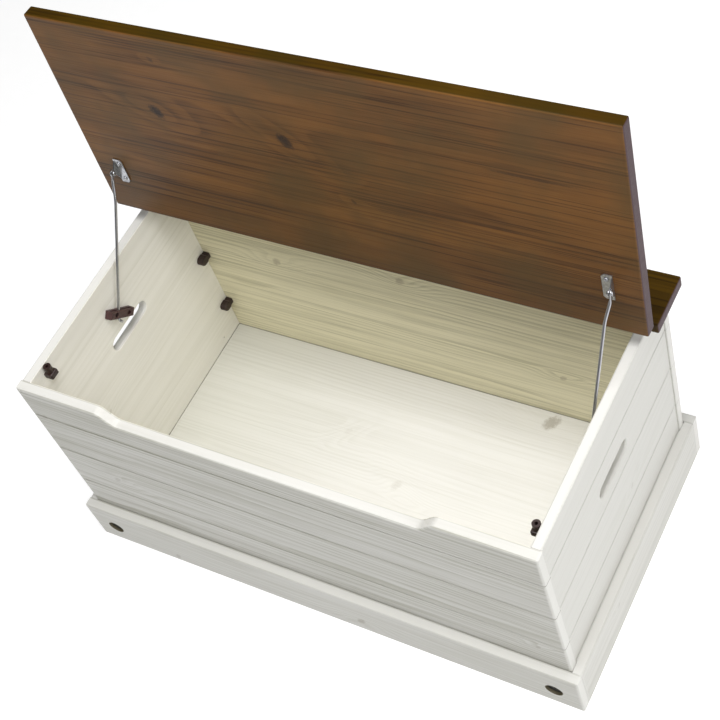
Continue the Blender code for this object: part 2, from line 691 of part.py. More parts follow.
    # guide block on the side wall
    half = GUIDE_SLOT / 2 + GUIDE_WALL
    tall = GUIDE_HEIGHT / 2
    ends = [on_guide(GUIDE_SHIFT + a, b) for a, b in
            ((-half, -tall), (half, -tall), (half, tall), (-half, tall))]
    bm = bmesh.new()
    prism(bm, ends, "X", side * GUIDE_IN, side * WALL_X)
    soften(bm, lambda a, b: not (near(a.x, side * WALL_X) or near(b.x, side * WALL_X)), 0.001, 2)
    guide = piece("%s_stay_guide" % word, bm, PLASTIC)
    long = GUIDE_SLOT / 2
    bm = bmesh.new()
    prism(bm, [on_guide(GUIDE_SHIFT + a, b) for a, b in
               ((-long, -2 * tall), (long, -2 * tall), (long, 2 * tall), (-long, 2 * tall))],
          "X", side * SLOT_IN, side * SLOT_OUT)
    shape(guide, bm)
    sink = SLOT_OUT + SCREW_HEAD_HEIGHT + 2 * GAP
    bm = bmesh.new()
    for y, z in GUIDE_SPOTS:
        turned(bm, y, z, "X",
               ((side * (GUIDE_IN - 0.001), SCREW_HEAD_RADIUS + 0.0005),
                (side * sink, SCREW_HEAD_RADIUS + 0.0005),
                (side * sink, SCREW_RADIUS + SCREW_AIR),
                (side * (WALL_X + 0.001), SCREW_RADIUS + SCREW_AIR)), 20)
    shape(guide, bm)

    for number, (y, z) in enumerate(GUIDE_SPOTS, 1):
        seat = sink - GAP
        bm = bmesh.new()
        turned(bm, y, z, "X",
               [(side * x, radius) for x, radius in
                ((seat - SCREW_HEAD_HEIGHT, SCREW_HEAD_RADIUS * 0.6),
                 (seat - SCREW_HEAD_HEIGHT * 0.45, SCREW_HEAD_RADIUS), (seat, SCREW_HEAD_RADIUS),
                 (seat, SCREW_RADIUS), (SIDE_IN + SCREW_BITE, SCREW_RADIUS))], 16)
        piece("%s_guide_screw_%d" % (word, number), bm, STEEL)

# ---------------------------------------------------------------- corner connectors
for end_word, way in (("front", -1.0), ("back", 1.0)):
    for word, side in SIDES:
        for level, height in zip(("lower", "upper"), NUT_Z):
            base = END_IN - GAP
            nose = base - NUT_LENGTH + NUT_HALF
            outline = [(base, NUT_NECK), (base - NUT_NECK_LENGTH, NUT_NECK),
                       (base - NUT_NECK_LENGTH - 0.002, NUT_HALF)]
            for i in range(11):
                turn = math.pi * (0.5 + i / 10)
                outline.append((nose + NUT_HALF * math.cos(turn), NUT_HALF * math.sin(turn)))
            outline += [(base - NUT_NECK_LENGTH - 0.002, -NUT_HALF),
                        (base - NUT_NECK_LENGTH, -NUT_NECK), (base, -NUT_NECK)]
            bm = bmesh.new()
            prism(bm, [(way * y, height + z) for y, z in outline], "X",
                  side * (WALL_X - NUT_THICK), side * WALL_X)

            def proud(a, b, side=side, way=way, base=base):
                top = side * (WALL_X - NUT_THICK)
                return near(a.x, top) and near(b.x, top) and not (
                    near(a.y, way * base) and near(b.y, way * base))

            soften(bm, proud, 0.0016, 2)
            label = "%s_%s_%s" % (end_word, word, level)
            nut = piece("corner_connector_" + label, bm, PLASTIC)
            bm = bmesh.new()
            turned(bm, side * NUT_X, height, "Y",
                   ((way * (END_IN + 0.001), NUT_BOLT_RADIUS + SCREW_AIR),
                    (way * (base - NUT_BOLT_IN_NUT - SCREW_AIR),
                     NUT_BOLT_RADIUS + SCREW_AIR)), 12)
            shape(nut, bm)
            bm = bmesh.new()
            turned(bm, side * NUT_X, height, "Y",
                   ((way * (END_IN + NUT_BOLT_IN_PANEL), NUT_BOLT_RADIUS),
                    (way * (base - NUT_BOLT_IN_NUT), NUT_BOLT_RADIUS)), 12)
            piece("corner_bolt_" + label, bm, DARK)

# ---------------------------------------------------------------- top-fixing blocks
for end_word, way in (("front", -1.0), ("back", 1.0)):
    for word, side in SIDES:
        wide, out, tall = POST_BASE
        bm = bmesh.new()
        foot = [(side * WALL_X, way * POST_Y - wide / 2), (side * WALL_X, way * POST_Y + wide / 2),
                (side * (WALL_X - out), way * POST_Y + wide / 2),
                (side * (WALL_X - out), way * POST_Y - wide / 2)]
        prism(bm, foot, "Z", POST_BOTTOM, POST_BOTTOM + tall)
        soften(bm, lambda a, b: not (near(a.x, side * WALL_X) and near(b.x, side * WALL_X))
               and not (near(a.z, POST_BOTTOM) and near(b.z, POST_BOTTOM)), 0.0018, 2)
        post = piece("top_fixing_%s_%s" % (end_word, word), bm, PLASTIC)
        bm = bmesh.new()
        turned(bm, side * POST_X, way * POST_Y, "Z",
               ((POST_BOTTOM + tall / 2, POST_RADIUS - GAP), (POST_TOP, POST_RADIUS - GAP)), 24)
        shape(post, bm, "UNION")
        bm = bmesh.new()
        turned(bm, side * POST_X, way * POST_Y, "Z",
               ((POST_BOTTOM - 0.001, POST_HOLE), (POST_TOP + 0.001, POST_HOLE)), 16)
        shape(post, bm)

for word, side in SIDES:
    seat = POST_BOTTOM - GAP
    bm = bmesh.new()
    turned(bm, side * POST_X, POST_Y, "Z",
           ((seat - 0.0026, 0.0026), (seat - 0.0012, 0.0043), (seat, 0.0043),
            (seat, STRIP_SCREW_RADIUS), (SEAT + STRIP_SCREW_BITE, STRIP_SCREW_RADIUS)), 16)
    piece("strip_screw_" + word, bm, STEEL)
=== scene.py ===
"""Storage bench, dressed: painted pine box, stained pine lid, zinc stays, moulded fittings."""
import json
import math

import bpy
import numpy as np
from bpy.props import FloatProperty, FloatVectorProperty, PointerProperty
from bpy.types import Operator, Panel, PropertyGroup
from mathutils import Matrix, Vector


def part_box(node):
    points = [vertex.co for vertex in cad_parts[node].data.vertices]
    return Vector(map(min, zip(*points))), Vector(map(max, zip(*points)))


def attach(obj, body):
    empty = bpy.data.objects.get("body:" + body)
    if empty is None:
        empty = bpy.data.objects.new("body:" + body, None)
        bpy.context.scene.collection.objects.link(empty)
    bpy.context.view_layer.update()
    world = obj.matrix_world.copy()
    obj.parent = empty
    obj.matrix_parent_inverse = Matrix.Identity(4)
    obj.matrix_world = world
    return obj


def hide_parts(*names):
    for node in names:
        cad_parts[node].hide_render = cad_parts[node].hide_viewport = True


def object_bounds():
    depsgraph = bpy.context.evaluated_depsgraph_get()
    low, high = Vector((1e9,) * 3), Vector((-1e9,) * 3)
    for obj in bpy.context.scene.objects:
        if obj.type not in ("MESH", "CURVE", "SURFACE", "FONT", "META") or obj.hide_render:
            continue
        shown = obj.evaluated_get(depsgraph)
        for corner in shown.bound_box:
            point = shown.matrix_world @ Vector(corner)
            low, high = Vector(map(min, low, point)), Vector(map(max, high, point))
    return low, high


bl_info = {
    "name": "Storage Bench",
    "version": (1, 0, 0),
    "blender": (4, 5, 0),
    "location": "3D View > Sidebar > Bench",
    "description": "Finishes, fittings and studio for a panelled storage bench with a hinged lid",
    "category": "Object",
}

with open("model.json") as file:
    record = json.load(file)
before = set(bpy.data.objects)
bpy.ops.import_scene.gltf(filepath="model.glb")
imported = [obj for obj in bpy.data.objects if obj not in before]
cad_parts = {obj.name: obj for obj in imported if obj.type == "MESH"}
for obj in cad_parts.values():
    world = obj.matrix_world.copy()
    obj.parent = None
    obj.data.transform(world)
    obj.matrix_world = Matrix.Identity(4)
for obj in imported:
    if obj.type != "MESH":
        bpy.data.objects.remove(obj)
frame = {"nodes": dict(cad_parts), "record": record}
CAD_LOW, CAD_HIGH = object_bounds()

SIDES = (("left", -1.0), ("right", 1.0))
ENDS = ("front", "back")
JOINTS = {joint["name"]: joint for joint in frame["record"]["behaviour"]["joints"]}
HINGE = JOINTS["lid_hinge"]["pos_m"]
LID_OPEN = math.radians(JOINTS["lid_hinge"]["range_deg"][1])

# wood, metres
PANEL_PITCH = 0.0955          # between the grooves of the walls
PANEL_FIRST = 0.1612          # height of one groove, which the others step from
PAINTED_RINGS = 0.0034        # growth ring spacing of the painted boards
STAINED_RINGS = 0.0062        # and of the lid and strip
ARRIS = (0.0010, 0.0032)      # depth from a face where the board's edge begins and is full
FLOOR_SHADOW_LINE = (0.0026, 0.0008)        # width of the painted shadow line round the floor where it meets the walls, soft and full
BORE_SHADE = (0.0142, 0.0146)       # radius of the plinth's bores, darkened as bare wood with painted shade, and its soft edge
KNUCKLE_GAP = 0.0043          # from the hinge line to the lid's edge

# fastenings, metres: head radius, head height, shank radius
SMALL_SCREW = (0.0036, 0.0021, 0.0016)
STRIP_SCREW = (0.0043, 0.0026, 0.0020)
LEAF_SCREW = (0.0024, 0.0009, 0.0012)
LEAF_SCREW_LENGTH = 0.0010
LEAF_SCREW_PITCH = 0.022
LEAF_THICK = 0.002
PIN_HEAD, PIN_SHANK = 0.0030, 0.0020
RIVET_HEAD, RIVET_RISE, RIVET_SHANK = 0.0039, 0.0017, 0.0019

# stay rods, metres and degrees
ROD_LEAN = 32.8
ROD_SIZES = {"eye": 0.0055, "thin": 0.0011, "wire": 0.00225, "rod_x": 0.4060, "length": 0.2455,
             "hook": 0.0075}

# studio
FLOOR_REACH = 9.0
FLOOR_GAP = 0.0005
LENS, SENSOR = 75.54, 36.0
CAMERA_PLACE = (1.0251, -0.9590, 2.1018)
CAMERA_TURN = (36.540, 13.891, 27.539)


# ------------------------------------------------------------------ node wiring
class Web:
    """Short hand for wiring the nodes of one material."""

    def __init__(self, name):
        self.material = bpy.data.materials.new(name)
        self.material.use_nodes = True
        self.tree = self.material.node_tree
        self.shader = self.tree.nodes["Principled BSDF"]
        self.place = self.add("ShaderNodeTexCoord").outputs["Object"]

    def add(self, kind, **settings):
        """New node with its settings."""
        node = self.tree.nodes.new(kind)
        for key, value in settings.items():
            setattr(node, key, value)
        return node

    def feed(self, socket, value):
        """Link a socket into another, or set a plain value."""
        if isinstance(value, bpy.types.NodeSocket):
            self.tree.links.new(value, socket)
        else:
            socket.default_value = value

    def maths(self, operation, first, second=0.0, third=0.0, clamp=False):
        """One Math node's result."""
        node = self.add("ShaderNodeMath", operation=operation, use_clamp=clamp)
        for socket, value in zip(node.inputs, (first, second, third)):
            self.feed(socket, value)
        return node.outputs[0]

    def total(self, *terms):
        """Sum of value * share over the (value, share) pairs."""
        result = 0.0
        for value, share in terms:
            result = self.maths("ADD", result, self.maths("MULTIPLY", value, share))
        return result

    def oval(self, first, reach, second, width):
        """(first / reach)^2 + (second / width)^2."""
        squares = (self.maths("POWER", self.maths("DIVIDE", value, size), 2.0)
                   for value, size in ((first, reach), (second, width)))
        return self.maths("ADD", *squares)

    def remap(self, value, low, high, to_low=0.0, to_high=1.0, smooth=True):
        """Map Range from one span to another."""
        node = self.add("ShaderNodeMapRange")
        node.interpolation_type = "SMOOTHSTEP" if smooth else "LINEAR"
        for socket, number in zip(node.inputs, (value, low, high, to_low, to_high)):
            self.feed(socket, number)
        return node.outputs[0]

    def blend(self, factor, first, second, mode="MIX"):
        """Colour mix."""
        node = self.add("ShaderNodeMix", data_type="RGBA", blend_type=mode)
        self.feed(node.inputs[0], factor)
        for socket, colour in ((node.inputs[6], first), (node.inputs[7], second)):
            self.feed(socket, colour if isinstance(colour, bpy.types.NodeSocket) else (*colour, 1))
        return node.outputs[2]

    def join(self, x, y, z):
        """Vector from three numbers."""
        node = self.add("ShaderNodeCombineXYZ")
        for socket, value in zip(node.inputs, (x, y, z)):
            self.feed(socket, value)
        return node.outputs[0]

    def noise(self, vector, scale, detail=3.0, roughness=0.5):
        """Noise texture's value."""
        node = self.add("ShaderNodeTexNoise")
        self.feed(node.inputs["Vector"], vector)
        node.inputs["Scale"].default_value = scale
        node.inputs["Detail"].default_value = detail
        node.inputs["Roughness"].default_value = roughness
        return node.outputs["Fac"]

    def set(self, **values):
        """Set or link the shader's own sockets, named with underscores for spaces."""
        for key, value in values.items():
            self.feed(self.shader.inputs[key.replace("_", " ")], value)

    def bump(self, height, strength, distance):
        """Bump from a height."""
        node = self.add("ShaderNodeBump")
        node.inputs["Strength"].default_value = strength
        node.inputs["Distance"].default_value = distance
        self.feed(node.inputs["Height"], height)
        self.feed(self.shader.inputs["Normal"], node.outputs[0])


# ------------------------------------------------------------------ wood
def pine(web, axes, board, start, seed, knots, spacing, closed_lid=False, marks=()):
    """Solid figure of edge-glued pine boards, read in three dimensions.

    With a along the grain, b across the boards and c through them, each board has a heart line
    at (b0, c0) and the growth rings are r = sqrt((b - b0)^2 + (c - c0)^2) + drift(a, b, c), each
    ring dark for its late part. A knot (along, across, size, slant, strength) adds a hump
    h * exp(-d^2) to r, so rings flow round it, and has a dark ragged core. A mark (along,
    across, length, width, strength) is a dark streak along the grain.
    """
    place = web.place
    if closed_lid:
        turn = web.add("ShaderNodeVectorRotate", rotation_type="X_AXIS")
        web.feed(turn.inputs["Vector"], place)
        turn.inputs["Center"].default_value = HINGE
        turn.inputs["Angle"].default_value = LID_OPEN
        place = turn.outputs[0]
    parts = web.add("ShaderNodeSeparateXYZ")
    web.feed(parts.inputs[0], place)
    a, b, c = (parts.outputs[axis] for axis in axes)

    steps = web.maths("DIVIDE", web.maths("SUBTRACT", b, start), board)
    index = web.maths("FLOOR", steps)
    inside = web.maths("SUBTRACT", web.maths("SUBTRACT", steps, index), 0.5)
    local = web.maths("MULTIPLY", inside, board)
    dice = web.add("ShaderNodeTexWhiteNoise", noise_dimensions="1D")
    web.feed(dice.inputs["W"], web.maths("ADD", index, seed * 7.31))
    lots = web.add("ShaderNodeSeparateColor")
    web.feed(lots.inputs[0], dice.outputs["Color"])
    one, two, three = lots.outputs

    shifted = web.maths("ADD", a, web.maths("MULTIPLY", three, 9.0))
    drift_at = web.join(web.maths("MULTIPLY", shifted, 1.1), web.maths("MULTIPLY", b, 5.0),
                        web.maths("MULTIPLY", c, 5.0))
    drift = web.maths("MULTIPLY", web.maths("SUBTRACT", web.noise(drift_at, 1.0, 2.0), 0.5),
                      0.014)
    waver_at = web.join(web.maths("MULTIPLY", shifted, 9.0), web.maths("MULTIPLY", b, 40.0),
                        web.maths("MULTIPLY", c, 40.0))
    waver = web.maths("MULTIPLY", web.maths("SUBTRACT", web.noise(waver_at, 1.0, 2.0), 0.5),
                      0.0022)

    heart_b = web.maths("MULTIPLY", web.maths("SUBTRACT", one, 0.5), board * 1.5)
    heart_c = web.maths("ADD", web.maths("MULTIPLY", two, 0.05), 0.035)
    db = web.maths("SUBTRACT", local, heart_b)
    dc = web.maths("ADD", c, heart_c)
    if not closed_lid and axes[2] != 2:
        dc = web.maths("ADD", web.maths("MULTIPLY", web.maths("ABSOLUTE", c), 0.35), heart_c)
    radius = web.maths("SQRT", web.maths("ADD", web.maths("MULTIPLY", db, db),
                                         web.maths("MULTIPLY", dc, dc)))
    radius = web.maths("ADD", web.maths("ADD", radius, drift), waver)

    spot = 0.0
    rough = web.noise(place, 220.0, 4.0, 0.65)
    torn = web.maths("MULTIPLY", web.maths("SUBTRACT", rough, 0.5), 3.6)
    for along, across, size, slant, strength in knots:
        da = web.maths("SUBTRACT", a, along)
        rise = web.maths("SUBTRACT", b, across)
        dk = web.maths("SUBTRACT", rise, web.maths("MULTIPLY", da, slant))
        flow = web.oval(da, size * 4.2, dk, size * 1.7)
        hump = web.maths("EXPONENT", web.maths("MULTIPLY", flow, -1.0))
        radius = web.maths("ADD", radius, web.maths("MULTIPLY", hump, size * 0.8))
        lean = web.maths("SUBTRACT", da, web.maths("MULTIPLY", rise, 0.35))
        core = web.oval(lean, size * 0.50, rise, size * 0.62)
        ragged = web.maths("ADD", core, torn)
        spot = web.maths("MAXIMUM", spot, web.remap(ragged, 0.1, 2.2, strength, 0.0))

    for along, across, length, width, strength in marks:
        core = web.oval(web.maths("SUBTRACT", a, along), length,
                        web.maths("SUBTRACT", b, across), width)
        ragged = web.maths("ADD", core, web.maths("MULTIPLY", torn, 0.4))
        spot = web.maths("MAXIMUM", spot, web.remap(ragged, 0.1, 1.8, strength, 0.0))

    phase = web.maths("FRACT", web.maths("DIVIDE", radius, spacing))
    late = web.maths("MULTIPLY", web.remap(phase, 0.25, 0.86),
                     web.remap(phase, 0.9, 1.0, 1.0, 0.0))
    strength_at = web.join(web.maths("MULTIPLY", shifted, 2.5), web.maths("MULTIPLY", b, 26.0), c)
    strength = web.remap(web.noise(strength_at, 1.0, 3.0), 0.3, 0.75, 0.15, 1.0)
    streak_at = web.join(web.maths("MULTIPLY", shifted, 2.2), web.maths("MULTIPLY", b, 260.0),
                         web.maths("MULTIPLY", c, 35.0))
    streak = web.remap(web.noise(streak_at, 1.0, 5.0, 0.65), 0.42, 0.72)
    fibre_at = web.join(web.maths("MULTIPLY", shifted, 7.0), web.maths("MULTIPLY", b, 420.0),
                        web.maths("MULTIPLY", c, 90.0))
    fibre = web.noise(fibre_at, 1.0, 4.0, 0.6)
    cloud_at = web.join(web.maths("MULTIPLY", shifted, 3.0), web.maths("MULTIPLY", b, 12.0), c)
    seam = web.maths("SUBTRACT", 1.0, web.remap(
        web.maths("SUBTRACT", 0.5, web.maths("ABSOLUTE", inside)), 0.0, 0.012))
    return {"late": web.maths("MULTIPLY", late, strength), "fibre": fibre, "tone": one,
            "streak": streak, "cloud": web.noise(cloud_at, 1.0, 4.0, 0.55), "knot": spot,
            "seam": seam, "along": a, "through": c}


def painted(node, axes, board, start, seed, knots, grain, yellow, crease, look):
    """Thin white paint over pine: the rings, fibre and knots show through faintly.

    grain scales how much of the wood shows; yellow is how far the inner face is tinted yellow,
    partly yellowing and partly painted warm bounce light from the lid; crease is painted shade in
    the joints between the boards on the outer face, and the outer faces also carry a painted shade
    tint, weaker on the board edges. The floor has a painted shade over its left end and a painted
    shadow line round it where it meets the walls, and the front plinth board has bare wood in its
    bores, darkened further as painted shade.
    """
    web = Web("painted_" + node)
    wood = pine(web, axes, board, start, seed, knots, PAINTED_RINGS)
    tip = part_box(node)[1][axes[0]]
    plain = web.remap(web.maths("ABSOLUTE", wood["along"]), tip - 0.005, tip - 0.002, 1.0, 0.15)
    low, high = (corner[axes[2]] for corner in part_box(node))
    buried = web.maths("MINIMUM", web.maths("SUBTRACT", wood["through"], low),
                       web.maths("SUBTRACT", high, wood["through"]))
    face = web.remap(buried, *ARRIS, 1.0, 0.0)
    plain = web.maths("MULTIPLY", plain, web.remap(face, 0.0, 1.0, 0.2, 1.0))
    veil = web.total((wood["late"], 0.30), (wood["streak"], 0.32),
                     (web.remap(wood["fibre"], 0.45, 0.8), 0.14),
                     (web.remap(wood["cloud"], 0.4, 0.8), 0.14))
    veil = web.maths("MULTIPLY", web.maths("MULTIPLY", veil, grain), plain)
    veil = web.maths("ADD", veil, web.maths("MULTIPLY", wood["tone"], 0.06), clamp=True)
    colour = web.blend(veil, tuple(look.paint), tuple(look.paint_shade))
    colour = web.blend(wood["knot"], colour, tuple(look.knot))
    inner = (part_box("right_side_panel")[0][0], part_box("back_panel")[0][1])
    parts = web.add("ShaderNodeSeparateXYZ")
    web.feed(parts.inputs[0], web.place)
    # the rim mask gives a painted shadow line along the floor's edge where it meets the walls
    within, rim_shadow = 1.0, 0.0
    for axis, edge in enumerate(inner):
        off = web.maths("ABSOLUTE", parts.outputs[axis])
        rim_shadow = web.maths("MAXIMUM", rim_shadow, web.remap(off, edge - FLOOR_SHADOW_LINE[0], edge - FLOOR_SHADOW_LINE[1]))
        reached = web.remap(off, edge + 0.0004, edge + 0.001, 1.0, 0.0)
        within = web.maths("MULTIPLY", within, reached)
    crevice_shade = tuple(look.crevice_shade)
    # painted shade in the joints between the boards on the outer faces
    outer_shaded = web.blend(web.maths("MULTIPLY", wood["seam"], crease), colour, crevice_shade)
    # painted shade: a darker tint over the outer faces, weaker on the board edges
    outer_shade_amount = web.remap(face, 0.0, 1.0, 0.66, 1.0)
    outer_shaded = web.blend(outer_shade_amount, outer_shaded, tuple(look.paint_outside_shade), "MULTIPLY")
    # yellow tint of the inner faces: yellowing together with painted warm bounce light from the
    # lid
    colour = web.blend(web.maths("MULTIPLY", within, yellow), colour, tuple(look.paint_inside_bounce),
                       "MULTIPLY")
    colour = web.blend(within, outer_shaded, colour)
    if node == "bottom_panel":
        # painted shade darkening the floor's left end
        dull = web.remap(wood["along"], -0.44, 0.06, 1.0, 0.0)
        colour = web.blend(dull, colour, tuple(look.paint_floor_shade), "MULTIPLY")
        # painted shadow line round the floor
        colour = web.blend(web.maths("MULTIPLY", rim_shadow, 0.8), colour, crevice_shade)
    # bare wood in the bores, darkened further as painted shade
    if node == "plinth_front":
        for word, _ in SIDES:
            bolt_low, bolt_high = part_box("plinth_bolt_" + word)
            across = [web.maths("SUBTRACT", parts.outputs[axis],
                                (bolt_low[axis] + bolt_high[axis]) / 2) for axis in (0, 2)]
            squares = web.maths("ADD", *(web.maths("MULTIPLY", way, way) for way in across))
            bore_shade = web.remap(web.maths("SQRT", squares), *BORE_SHADE, 1.0, 0.0)
            colour = web.blend(bore_shade, colour, crevice_shade)
    web.set(Base_Color=colour, Roughness=web.remap(wood["fibre"], 0.2, 0.8, 0.42, 0.58),
            Specular_IOR_Level=0.35, Metallic=0.0)
    web.bump(web.total((wood["fibre"], 0.5), (wood["streak"], -0.5)), 0.16, 0.0003)
    return web.material


def stained(name, axes, board, start, seed, knots, marks, closed_lid, thin_face, ends, look):
    """Dark stain under thin lacquer: late wood reads darker, outer faces and ends deeper.

    The ends also carry a painted purplish sheen.
    """
    web = Web(name)
    wood = pine(web, axes, board, start, seed, knots, STAINED_RINGS, closed_lid,
                marks)
    dark = tuple(look.stain_dark)
    depth = web.total((wood["late"], 0.36), (web.remap(wood["streak"], 0.15, 0.80), 0.46),
                      (web.remap(wood["cloud"], 0.3, 0.75), 0.40),
                      (web.remap(wood["fibre"], 0.35, 0.8), 0.14), (wood["tone"], 0.16))
    depth = web.maths("ADD", depth, 0.0, clamp=True)
    colour = web.blend(depth, tuple(look.stain_light), dark)
    blotch = web.noise(web.place, 7.0, 3.0, 0.6)
    colour = web.blend(web.remap(blotch, 0.38, 0.70, 0.0, 0.7), colour, tuple(look.stain_blotch))
    outside = web.remap(wood["through"], thin_face, thin_face + 0.0016)
    colour = web.blend(outside, colour, tuple(look.stain_outside), "MULTIPLY")
    colour = web.blend(wood["knot"], colour, (0.010, 0.006, 0.006))
    colour = web.blend(web.maths("MULTIPLY", wood["seam"], 0.22), colour, dark)
    # end grain: darker stain with a painted purplish sheen
    end = web.remap(web.maths("ABSOLUTE", wood["along"]), ends - 0.0012, ends - 0.0004)
    colour = web.blend(end, colour, tuple(look.stain_end_sheen))
    web.set(Base_Color=colour, Roughness=web.remap(wood["fibre"], 0.2, 0.8, 0.38, 0.55),
            Specular_IOR_Level=web.remap(outside, 0.0, 1.0, 0.22, 0.10), Coat_Weight=0.02,
            Coat_Roughness=0.3, Metallic=0.0)
    web.bump(web.total((wood["fibre"], 0.6), (wood["streak"], -0.4)), 0.3, 0.0003)
    return web.material


# ------------------------------------------------------------------ metal and plastic
def zinc(name, look, dark=False, even=1.0):
    """Bright zinc plate: cloudy passivation, drawn scratches and a little dulling."""
    web = Web(name)
    cloud = web.noise(web.place, 190.0, 4.0, 0.6)
    fine = web.noise(web.place, 1500.0, 2.0)
    base = tuple(look.dark_metal if dark else look.zinc)
    dull = tuple(value * (1.0 - 0.38 * even) for value in base)
    web.set(Base_Color=web.blend(web.remap(cloud, 0.35, 0.7), base, dull),
            Metallic=0.0 if dark else 1.0, Specular_IOR_Level=0.12 if dark else 0.5,
            Roughness=web.maths("ADD", web.remap(cloud, 0.3, 0.75, 0.24, 0.42),
                                web.maths("MULTIPLY", fine, 0.08)))
    web.bump(fine, 0.15 * even, 0.00005)
    return web.material


def moulded(name, colour):
    """Moulded plastic: slight mottling and a fine eroded texture."""
    web = Web(name)
    mottle = web.noise(web.place, 240.0, 3.0)
    grain = web.noise(web.place, 2600.0, 2.0)
    tint = tuple(colour)
    worn = tuple(min(1.0, value * 1.6 + 0.004) for value in tint)
    web.set(Base_Color=web.blend(web.remap(mottle, 0.4, 0.8), tint, worn), Metallic=0.0,
            Roughness=web.remap(grain, 0.3, 0.7, 0.34, 0.5), Specular_IOR_Level=0.5)
    web.bump(grain, 0.25, 0.00006)
    return web.material


def finish_node(node, material):
    """Give one CAD node a material."""
    mesh = frame["nodes"][node].data
    mesh.materials.clear()
    mesh.materials.append(material)


# ------------------------------------------------------------------ surfaces
def surface(name, grid, material, body, nodes):
    """Closed skin over a grid of points shaped (rows, columns, 3), round in its columns.

    Rows 0 and -1 are poles: each is merged to one point at its middle.
    """
    rows, columns = grid.shape[:2]
    inner = grid[1:-1].reshape(-1, 3)
    points = np.vstack([grid[:1].mean(axis=1), inner, grid[-1:].mean(axis=1)])
    k = np.arange(columns)
    after = (k + 1) % columns
    first = 1 + k
    top = np.stack([np.zeros(columns, int), 1 + after, first], 1)
    start = 1 + (rows - 3) * columns
    last = np.full(columns, len(points) - 1)
    tail = np.stack([start + k, start + after, last], 1)
    strip = np.arange(rows - 3)[:, None] * columns + 1
    quads = np.stack([strip + k, strip + after, strip + after + columns, strip + k + columns],
                     2).reshape(-1, 4)
    faces = [tuple(f) for f in top.tolist()] + [tuple(f) for f in quads.tolist()]
    faces += [tuple(f) for f in tail.tolist()]
    centre = points.mean(axis=0)
    mesh = bpy.data.meshes.new(name)
    mesh.from_pydata(points.tolist(), [], faces)
    a, b, c = (points[quads[:, i]] for i in (0, 1, 2))
    away = np.einsum("ij,ij->", np.cross(b - a, c - a), (a + c) / 2 - centre)
    if away < 0:
        mesh.flip_normals()
    mesh.validate()
    mesh.shade_smooth()
    mesh.set_sharp_from_angle(angle=math.radians(38))
    mesh.materials.append(material)
    piece = bpy.data.objects.new(name, mesh)
    bpy.context.scene.collection.objects.link(piece)
    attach(piece, body)
    if nodes:
        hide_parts(*nodes)
    return piece


def turned(origin, axis, profile, columns, carve=None):
    """Grid of a turned shape: p(t, turn) = origin + h(t) axis + r(t)(cos turn u + sin turn v).

    profile holds (h, r) pairs; carve(h, r, x, y) may lower h, for a driver recess.
    """
    axis = np.asarray(axis, float) / np.linalg.norm(axis)
    side = np.cross(axis, (0.31, 0.52, 0.79))
    side /= np.linalg.norm(side)
    other = np.cross(axis, side)
    h, r = (np.array(column)[:, None] for column in zip(*profile))
    turn = np.linspace(0, 2 * math.pi, columns, endpoint=False)[None, :]
    x, y = r * np.cos(turn), r * np.sin(turn)
    h = np.broadcast_to(h, x.shape)
    if carve is not None:
        h = carve(h, np.broadcast_to(r, x.shape), x, y)
    return (np.asarray(origin) + h[..., None] * axis + x[..., None] * side
            + y[..., None] * other)


def cross_recess(top, reach, width, depth):
    """Carver that sinks a tapering cross into the faces near h = top."""
    def carve(h, r, x, y):
        arm = np.minimum(np.abs(x), np.abs(y))
        inside = np.clip((width - arm) / (width * 0.5), 0, 1)
        fade = np.clip((reach - r) / (reach * 0.6), 0, 1)
        near = np.clip((h - (top - depth * 1.6)) / (depth * 0.6), 0, 1)
        return h - depth * inside * fade * near
    return carve


def screw_profile(head, height, shank, length):
    """Domed head of radius head above h = 0 and a tapered shank below it."""
    bend = np.linspace(0, math.pi / 2, 12)
    dome = [(height * (0.25 + 0.75 * math.cos(t)), head * math.sin(t)) for t in bend]
    return dome[:1] + [(height, head * f) for f in (0.08, 0.16, 0.26, 0.36)] + dome[4:] + [
        (0.0, head), (0.0, shank), (-length * 0.8, shank), (-length, shank * 0.3), (-length, 0.0)]


def wire_section(low, high, blend):
    """Smooth step from low to high."""
    t = np.clip(blend, 0, 1)
    return low + (high - low) * t * t * (3 - 2 * t)


